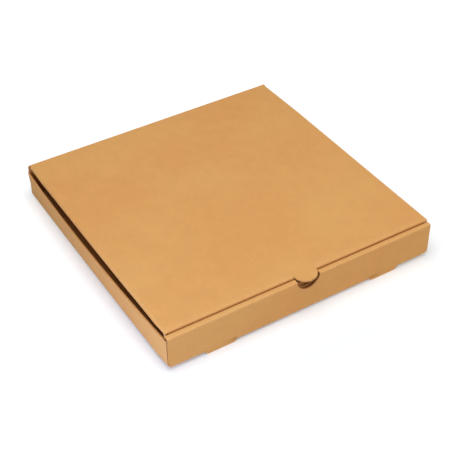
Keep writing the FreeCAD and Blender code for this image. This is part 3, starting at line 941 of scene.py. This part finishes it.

# %% [markdown]
# ## Cut edges
# Where the knife crosses the flutes, the edge shows two papers and a wavy one between
# them, with dark hollows: the edge itself is flat, so the hollows are painted shade.
# Along a flute, or where a curved knife has pressed the board shut, it shows pale torn
# paper. The mark from board_skin says which of the two it is. Only the ends of the front
# wall are wide open, and they are painted dark as well: painted shade of the slack gap
# that lies behind them, beside the corner fold.

# %% Cut edges
TORN = (0.68, 0.335, 0.115, 1)
# painted shade of the slack gap beside the front wall's ends
END_GAP_SHADE = (0.40, 0.165, 0.05, 1)
# painted shade for the dark hollows between the flutes, on a cut edge that is flat
HOLLOW_SHADE = (0.26, 0.10, 0.026, 1)

place = add(tree, "ShaderNodeSeparateXYZ", {0: section}).outputs
phase = sum_of(tree, "MULTIPLY", place["X"], 2 * math.pi / PITCH)
wave = sum_of(tree, "MULTIPLY_ADD", sum_of(tree, "SINE", phase, 0.0), 0.33, 0.5)
off_wave = sum_of(tree, "ABSOLUTE", sum_of(tree, "SUBTRACT", place["Y"], wave), 0.0)
off_middle = sum_of(tree, "ABSOLUTE", sum_of(tree, "SUBTRACT", place["Y"], 0.5), 0.0)
on_wave = stretched(tree, off_wave, 0.14, 0.08)
on_liner = stretched(tree, off_middle, 0.34, 0.38)
solid = sum_of(tree, "MAXIMUM", on_wave, on_liner)
cut = add(tree, "ShaderNodeAttribute", attribute_name="cut").outputs["Fac"]
is_open = stretched(tree, cut, 0.5, 0.9)
# painted shade in the flute hollows: full on open flutes, half on half-shut ones
hollow_shade = sum_of(tree, "MULTIPLY", is_open, sum_of(tree, "SUBTRACT", 1.0, solid))
edge_paper_and_gap_shade = over(tree, stretched(tree, cut, 0.8, 0.95), TORN, END_GAP_SHADE)
edge = over(tree, hollow_shade, edge_paper_and_gap_shade, HOLLOW_SHADE)
shaded = over(tree, stretched(tree, cut, 0.1, 0.3), shaded, edge)
tree.links.new(shaded, paint.inputs["Base Color"])

# %% [markdown]
# ## Relief and gloss
# The paper is matt, and a little less so between its fibres. Its relief is far too fine
# for the mesh, so it is bump: each layer has its height in millimetres, and Distance
# turns those into metres.

# %% Bump and gloss of the board
MOTTLE_HIGH, FIBRE_HIGH, FLUTE_HIGH, SCUFF_HIGH = 0.07, 0.012, 0.006, 0.05
GLOSS = 0.14

relief = sum_of(tree, "MULTIPLY", fibres, FIBRE_HIGH)
relief = sum_of(tree, "MULTIPLY_ADD", mottle, MOTTLE_HIGH, relief)
relief = sum_of(tree, "MULTIPLY_ADD", dimple, FLUTE_HIGH, relief)
scuffs = sum_of(tree, "MULTIPLY", rubbed, noise(tree, blank, 900, 2))
relief = sum_of(tree, "MULTIPLY_ADD", scuffs, SCUFF_HIGH, relief)
bump = add(tree, "ShaderNodeBump", {"Height": relief, "Distance": 0.001, "Strength": 1.0})
tree.links.new(bump.outputs["Normal"], paint.inputs["Normal"])
tree.links.new(stretched(tree, fibres, 0.3, 0.7, 0.74, 0.88), paint.inputs["Roughness"])
paint.inputs["Specular IOR Level"].default_value = GLOSS
for piece in (tray, lid, hinge):
    piece.data.materials.append(board)
print(len(tree.nodes), "nodes in", board.name)

# %% [markdown]
# ## Table and light
# The box stands on a plain white table that takes only a soft shadow. It rests on its two
# feet and on the rear crease, which is 3.5 mm higher, so the table top leans by that much.
# To the camera the table glows a little besides what the lamps give it, and more behind,
# on the right and far away, where they reach less, so that it is white up to the shadow.
# Light Path tells the camera's rays from those that light the box.

# %% Table
REACH = 3.0
slope = UNDER / (REAR - FRONT)
ends = (-REACH, REACH)
corners = [(x, y, (y - FRONT / 1000) * slope) for y in ends for x in ends]
table_mesh = bpy.data.meshes.new("table")
table_mesh.from_pydata(corners, [], [(0, 1, 3, 2)])
table = bpy.data.objects.new("table", table_mesh)
bpy.context.scene.collection.objects.link(table)


def seen_directly(tree):
    """1 for rays of the camera and those through gloss or glass, else 0."""
    path = add(tree, "ShaderNodeLightPath").outputs
    either = sum_of(tree, "MAXIMUM", path["Is Camera Ray"], path["Is Glossy Ray"])
    return sum_of(tree, "MAXIMUM", either, path["Is Transmission Ray"])


GLOW, GLOW_BACK, GLOW_RIGHT = 0.29, 0.60, 0.20  # at the middle, and more for each metre
PLAIN_WHITE, SHOWN_WHITE = (0.8, 0.8, 0.8, 1), (0.86, 0.9, 0.91, 1)

white = bpy.data.materials.new("white_table")
white.use_nodes = True
tree = white.node_tree
tree.nodes.remove(tree.nodes["Principled BSDF"])
plain = add(tree, "ShaderNodeBsdfDiffuse", {"Color": PLAIN_WHITE})
shown = add(tree, "ShaderNodeBsdfDiffuse", {"Color": SHOWN_WHITE})
here = add(tree, "ShaderNodeTexCoord").outputs["Object"]
spot = add(tree, "ShaderNodeSeparateXYZ", {0: here}).outputs
rise = sum_of(tree, "MULTIPLY_ADD", spot["X"], GLOW_RIGHT, GLOW)
rise = sum_of(tree, "MULTIPLY_ADD", spot["Y"], GLOW_BACK, rise)
away = add(tree, "ShaderNodeVectorMath", {0: here}, operation="LENGTH")
far = stretched(tree, away.outputs["Value"], 0.2, 0.4)
glow = add(tree, "ShaderNodeEmission", {"Strength": sum_of(tree, "MAXIMUM", rise, far)})
lit = add(tree, "ShaderNodeAddShader", {0: shown.outputs[0], 1: glow.outputs[0]}).outputs[0]
choice = {0: seen_directly(tree), 1: plain.outputs[0], 2: lit}
surface = add(tree, "ShaderNodeMixShader", choice).outputs[0]
tree.links.new(surface, tree.nodes["Material Output"].inputs["Surface"])
table_mesh.materials.append(white)
print("table leans", round(UNDER, 1), "mm over the depth of the box")

# %% [markdown]
# ## Lamps
# A big soft lamp overhead, a little towards the viewer, lights the lid evenly. A second
# one stands in front. A third, small, weak and cool, stands low beside the left wall and
# lights its front more than its rear. The pale world fills the rest, so that no shadow is
# black, and to the camera it is plain white.

# %% Light
WORLD_FILL = 0.175
AIM = Vector((0, 0, 0.03))

world = bpy.data.worlds.new("studio")
bpy.context.scene.world = world
world.use_nodes = True
tree = world.node_tree
sky = tree.nodes["Background"]
sky.inputs["Color"].default_value = (1, 1, 1, 1)
strength = stretched(tree, seen_directly(tree), 0, 1, WORLD_FILL, 1.0)
tree.links.new(strength, sky.inputs["Strength"])


def lamp(name, place, size, power, colour=(1, 1, 1)):
    """A square soft lamp that faces the box, with its size in metres and power in watts."""
    light = bpy.data.lights.new(name, "AREA")
    light.size = size
    light.energy = power
    light.color = colour
    holder = bpy.data.objects.new(name, light)
    holder.location = place
    holder.rotation_euler = (AIM - Vector(place)).to_track_quat("-Z", "Y").to_euler()
    bpy.context.scene.collection.objects.link(holder)
    print(f"{name}: {power} W")


lamp("overhead", (-0.1, -0.13, 1.33), 1.1, 13.1)
lamp("front", (0.3, -1.15, 0.6), 0.8, 3.6)
lamp("low_left", (-0.45, -0.22, 0.1), 0.18, 0.48, (0.84, 1.03, 1.7))
bpy.context.scene.view_settings.view_transform = "Standard"
